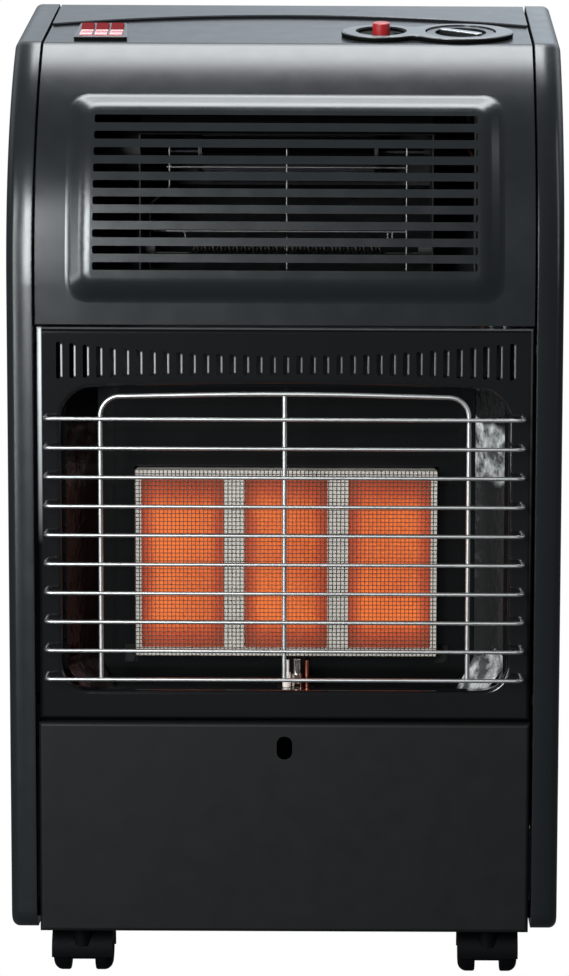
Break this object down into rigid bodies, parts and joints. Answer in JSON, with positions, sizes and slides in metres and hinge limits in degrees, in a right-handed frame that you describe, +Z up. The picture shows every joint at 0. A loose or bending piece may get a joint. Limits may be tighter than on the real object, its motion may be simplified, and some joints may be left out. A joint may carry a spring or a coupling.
{
  "type": "portable gas cabinet heater",
  "caption": "Upright gas cabinet heater on castors: radiant ceramic burner behind a wire guard, louvred fan heater above, top controls, open bottle bay with a lift-off rear cover.",
  "frame": {"origin": "on the floor, at the centre of the overall width and depth", "axes": "+Z up, the front with the burner faces -Y, +X to the right seen from the front"},
  "size_m": [0.42, 0.4, 0.755],
  "materials": {
    "side_panel_paint": "dark charcoal satin paint",
    "cabinet_paint": "dark charcoal satin paint",
    "surround_gloss": "black gloss enamel",
    "seal_rubber": "matt black",
    "tray_paint": "dark grey paint",
    "guard_chrome": "bright chrome wire",
    "liner_enamel": "black heat-proof enamel",
    "reflector_mirror": "bright polished sheet",
    "burner_steel": "satin heat-stained steel",
    "plaque_ceramic": "porous ceramic that glows orange when lit",
    "housing_aluminised": "dull aluminised sheet",
    "gas_brass": "machined",
    "manifold_steel": "zinc plated",
    "pipe_steel": "drawn tube",
    "thermocouple_copper": "copper",
    "lead_rubber": "black sleeve",
    "console_plastic": "black semi-gloss",
    "switch_black": "black",
    "button_red": "glossy red",
    "rocker_red": "translucent red",
    "electrode_ceramic": "glazed ceramic",
    "pilot_copper": "heat-darkened copper",
    "element_wire": "drawn wire",
    "motor_steel": "zinc plated",
    "impeller_aluminium": "plain",
    "castor_black": "moulded black",
    "wheel_black": "moulded black"
  },
  "bodies": {
    "cabinet": {"left_side_panel": "side_panel_paint", "right_side_panel": "side_panel_paint", "upper_fascia": "cabinet_paint", "rear_top_panel": "cabinet_paint", "top_seal": "seal_rubber", "burner_surround": "surround_gloss", "lower_front_panel": "cabinet_paint", "base_tray": "tray_paint", "rear_divider": "tray_paint", "wire_guard": "guard_chrome", "chamber_liner": "liner_enamel", "left_reflector": "reflector_mirror", "right_reflector": "reflector_mirror", "burner_frame": "burner_steel", "burner_plaques": "plaque_ceramic", "burner_housing": "housing_aluminised", "burner_mesh": "burner_steel", "gas_manifold": "manifold_steel", "injectors": "gas_brass", "gas_valve_body": "gas_brass", "control_bezel": "console_plastic", "igniter_body": "console_plastic", "hose_tail": "gas_brass", "burner_pipe": "pipe_steel", "pilot_pipe": "pipe_steel", "thermocouple": "thermocouple_copper", "ignition_lead": "lead_rubber", "pilot_bracket": "manifold_steel", "pilot_burner": "pilot_copper", "spark_electrode": "electrode_ceramic", "switch_bezel": "console_plastic", "switch_bodies": "switch_black", "fan_housing": "housing_aluminised", "fan_motor": "motor_steel", "element_frame": "element_wire", "heating_coil": "element_wire", "element_holders": "electrode_ceramic", "mains_gland": "lead_rubber", "panel_screws": "manifold_steel"},
    "knob_sleeve": {"valve_plunger": "gas_brass"},
    "knob": {"valve_spindle": "gas_brass", "gas_knob": "console_plastic"},
    "igniter_key": {"igniter_button": "button_red"},
    "left_rocker": {"rocker_left": "rocker_red"},
    "centre_rocker": {"rocker_centre": "rocker_red"},
    "right_rocker": {"rocker_right": "rocker_red"},
    "fan": {"fan_impeller": "impeller_aluminium"},
    "cover": {"rear_cover": "tray_paint"},
    "castor_front_left": {"castor_hood_front_left": "castor_black"},
    "wheel_front_left_outer": {"castor_wheel_front_left_outer": "wheel_black"},
    "wheel_front_left_inner": {"castor_wheel_front_left_inner": "wheel_black"},
    "castor_front_right": {"castor_hood_front_right": "castor_black"},
    "wheel_front_right_outer": {"castor_wheel_front_right_outer": "wheel_black"},
    "wheel_front_right_inner": {"castor_wheel_front_right_inner": "wheel_black"},
    "castor_rear_left": {"castor_hood_rear_left": "castor_black"},
    "wheel_rear_left_outer": {"castor_wheel_rear_left_outer": "wheel_black"},
    "wheel_rear_left_inner": {"castor_wheel_rear_left_inner": "wheel_black"},
    "castor_rear_right": {"castor_hood_rear_right": "castor_black"},
    "wheel_rear_right_outer": {"castor_wheel_rear_right_outer": "wheel_black"},
    "wheel_rear_right_inner": {"castor_wheel_rear_right_inner": "wheel_black"}
  },
  "joints": [
    {"name": "knob_press", "type": "slide", "parent": "cabinet", "child": "knob_sleeve", "axis": [0, 0.1977, -0.9803], "range_m": [0, 0.003], "stiffness_N_per_m": 1500, "springref_m": -0.002},
    {"name": "knob_turn", "type": "hinge", "parent": "knob_sleeve", "child": "knob", "pos_m": [0.134, -0.072, 0.7283], "axis": [0, -0.1977, 0.9803], "range_deg": [0, 240]},
    {"name": "igniter_press", "type": "slide", "parent": "cabinet", "child": "igniter_key", "axis": [0, 0.1977, -0.9803], "range_m": [0, 0.006], "stiffness_N_per_m": 1000, "springref_m": -0.003},
    {"name": "left_rocker_tilt", "type": "hinge", "parent": "cabinet", "child": "left_rocker", "pos_m": [-0.1568, -0.07782, 0.72876], "axis": [1, 0, 0], "range_deg": [-16, 0]},
    {"name": "centre_rocker_tilt", "type": "hinge", "parent": "cabinet", "child": "centre_rocker", "pos_m": [-0.1453, -0.07782, 0.72876], "axis": [1, 0, 0], "range_deg": [-16, 0]},
    {"name": "right_rocker_tilt", "type": "hinge", "parent": "cabinet", "child": "right_rocker", "pos_m": [-0.1338, -0.07782, 0.72876], "axis": [1, 0, 0], "range_deg": [-16, 0]},
    {"name": "fan_spin", "type": "hinge", "parent": "cabinet", "child": "fan", "pos_m": [0, -0.075, 0.638], "axis": [1, 0, 0], "continuous": true},
    {"name": "cover_lift", "type": "slide", "parent": "cabinet", "child": "cover", "axis": [0, 0, 1], "range_m": [0, 0.03]},
    {"name": "front_left_swivel", "type": "hinge", "parent": "cabinet", "child": "castor_front_left", "pos_m": [-0.158, -0.158, 0.06], "axis": [0, 0, 1], "continuous": true},
    {"name": "front_left_outer_roll", "type": "hinge", "parent": "castor_front_left", "child": "wheel_front_left_outer", "pos_m": [-0.158, -0.144, 0.0185], "axis": [1, 0, 0], "continuous": true},
    {"name": "front_left_inner_roll", "type": "hinge", "parent": "castor_front_left", "child": "wheel_front_left_inner", "pos_m": [-0.158, -0.144, 0.0185], "axis": [1, 0, 0], "continuous": true},
    {"name": "front_right_swivel", "type": "hinge", "parent": "cabinet", "child": "castor_front_right", "pos_m": [0.158, -0.158, 0.06], "axis": [0, 0, 1], "continuous": true},
    {"name": "front_right_outer_roll", "type": "hinge", "parent": "castor_front_right", "child": "wheel_front_right_outer", "pos_m": [0.158, -0.144, 0.0185], "axis": [1, 0, 0], "continuous": true},
    {"name": "front_right_inner_roll", "type": "hinge", "parent": "castor_front_right", "child": "wheel_front_right_inner", "pos_m": [0.158, -0.144, 0.0185], "axis": [1, 0, 0], "continuous": true},
    {"name": "rear_left_swivel", "type": "hinge", "parent": "cabinet", "child": "castor_rear_left", "pos_m": [-0.158, 0.159, 0.06], "axis": [0, 0, 1], "continuous": true},
    {"name": "rear_left_outer_roll", "type": "hinge", "parent": "castor_rear_left", "child": "wheel_rear_left_outer", "pos_m": [-0.158, 0.173, 0.0185], "axis": [1, 0, 0], "continuous": true},
    {"name": "rear_left_inner_roll", "type": "hinge", "parent": "castor_rear_left", "child": "wheel_rear_left_inner", "pos_m": [-0.158, 0.173, 0.0185], "axis": [1, 0, 0], "continuous": true},
    {"name": "rear_right_swivel", "type": "hinge", "parent": "cabinet", "child": "castor_rear_right", "pos_m": [0.158, 0.159, 0.06], "axis": [0, 0, 1], "continuous": true},
    {"name": "rear_right_outer_roll", "type": "hinge", "parent": "castor_rear_right", "child": "wheel_rear_right_outer", "pos_m": [0.158, 0.173, 0.0185], "axis": [1, 0, 0], "continuous": true},
    {"name": "rear_right_inner_roll", "type": "hinge", "parent": "castor_rear_right", "child": "wheel_rear_right_inner", "pos_m": [0.158, 0.173, 0.0185], "axis": [1, 0, 0], "continuous": true}
  ]
}
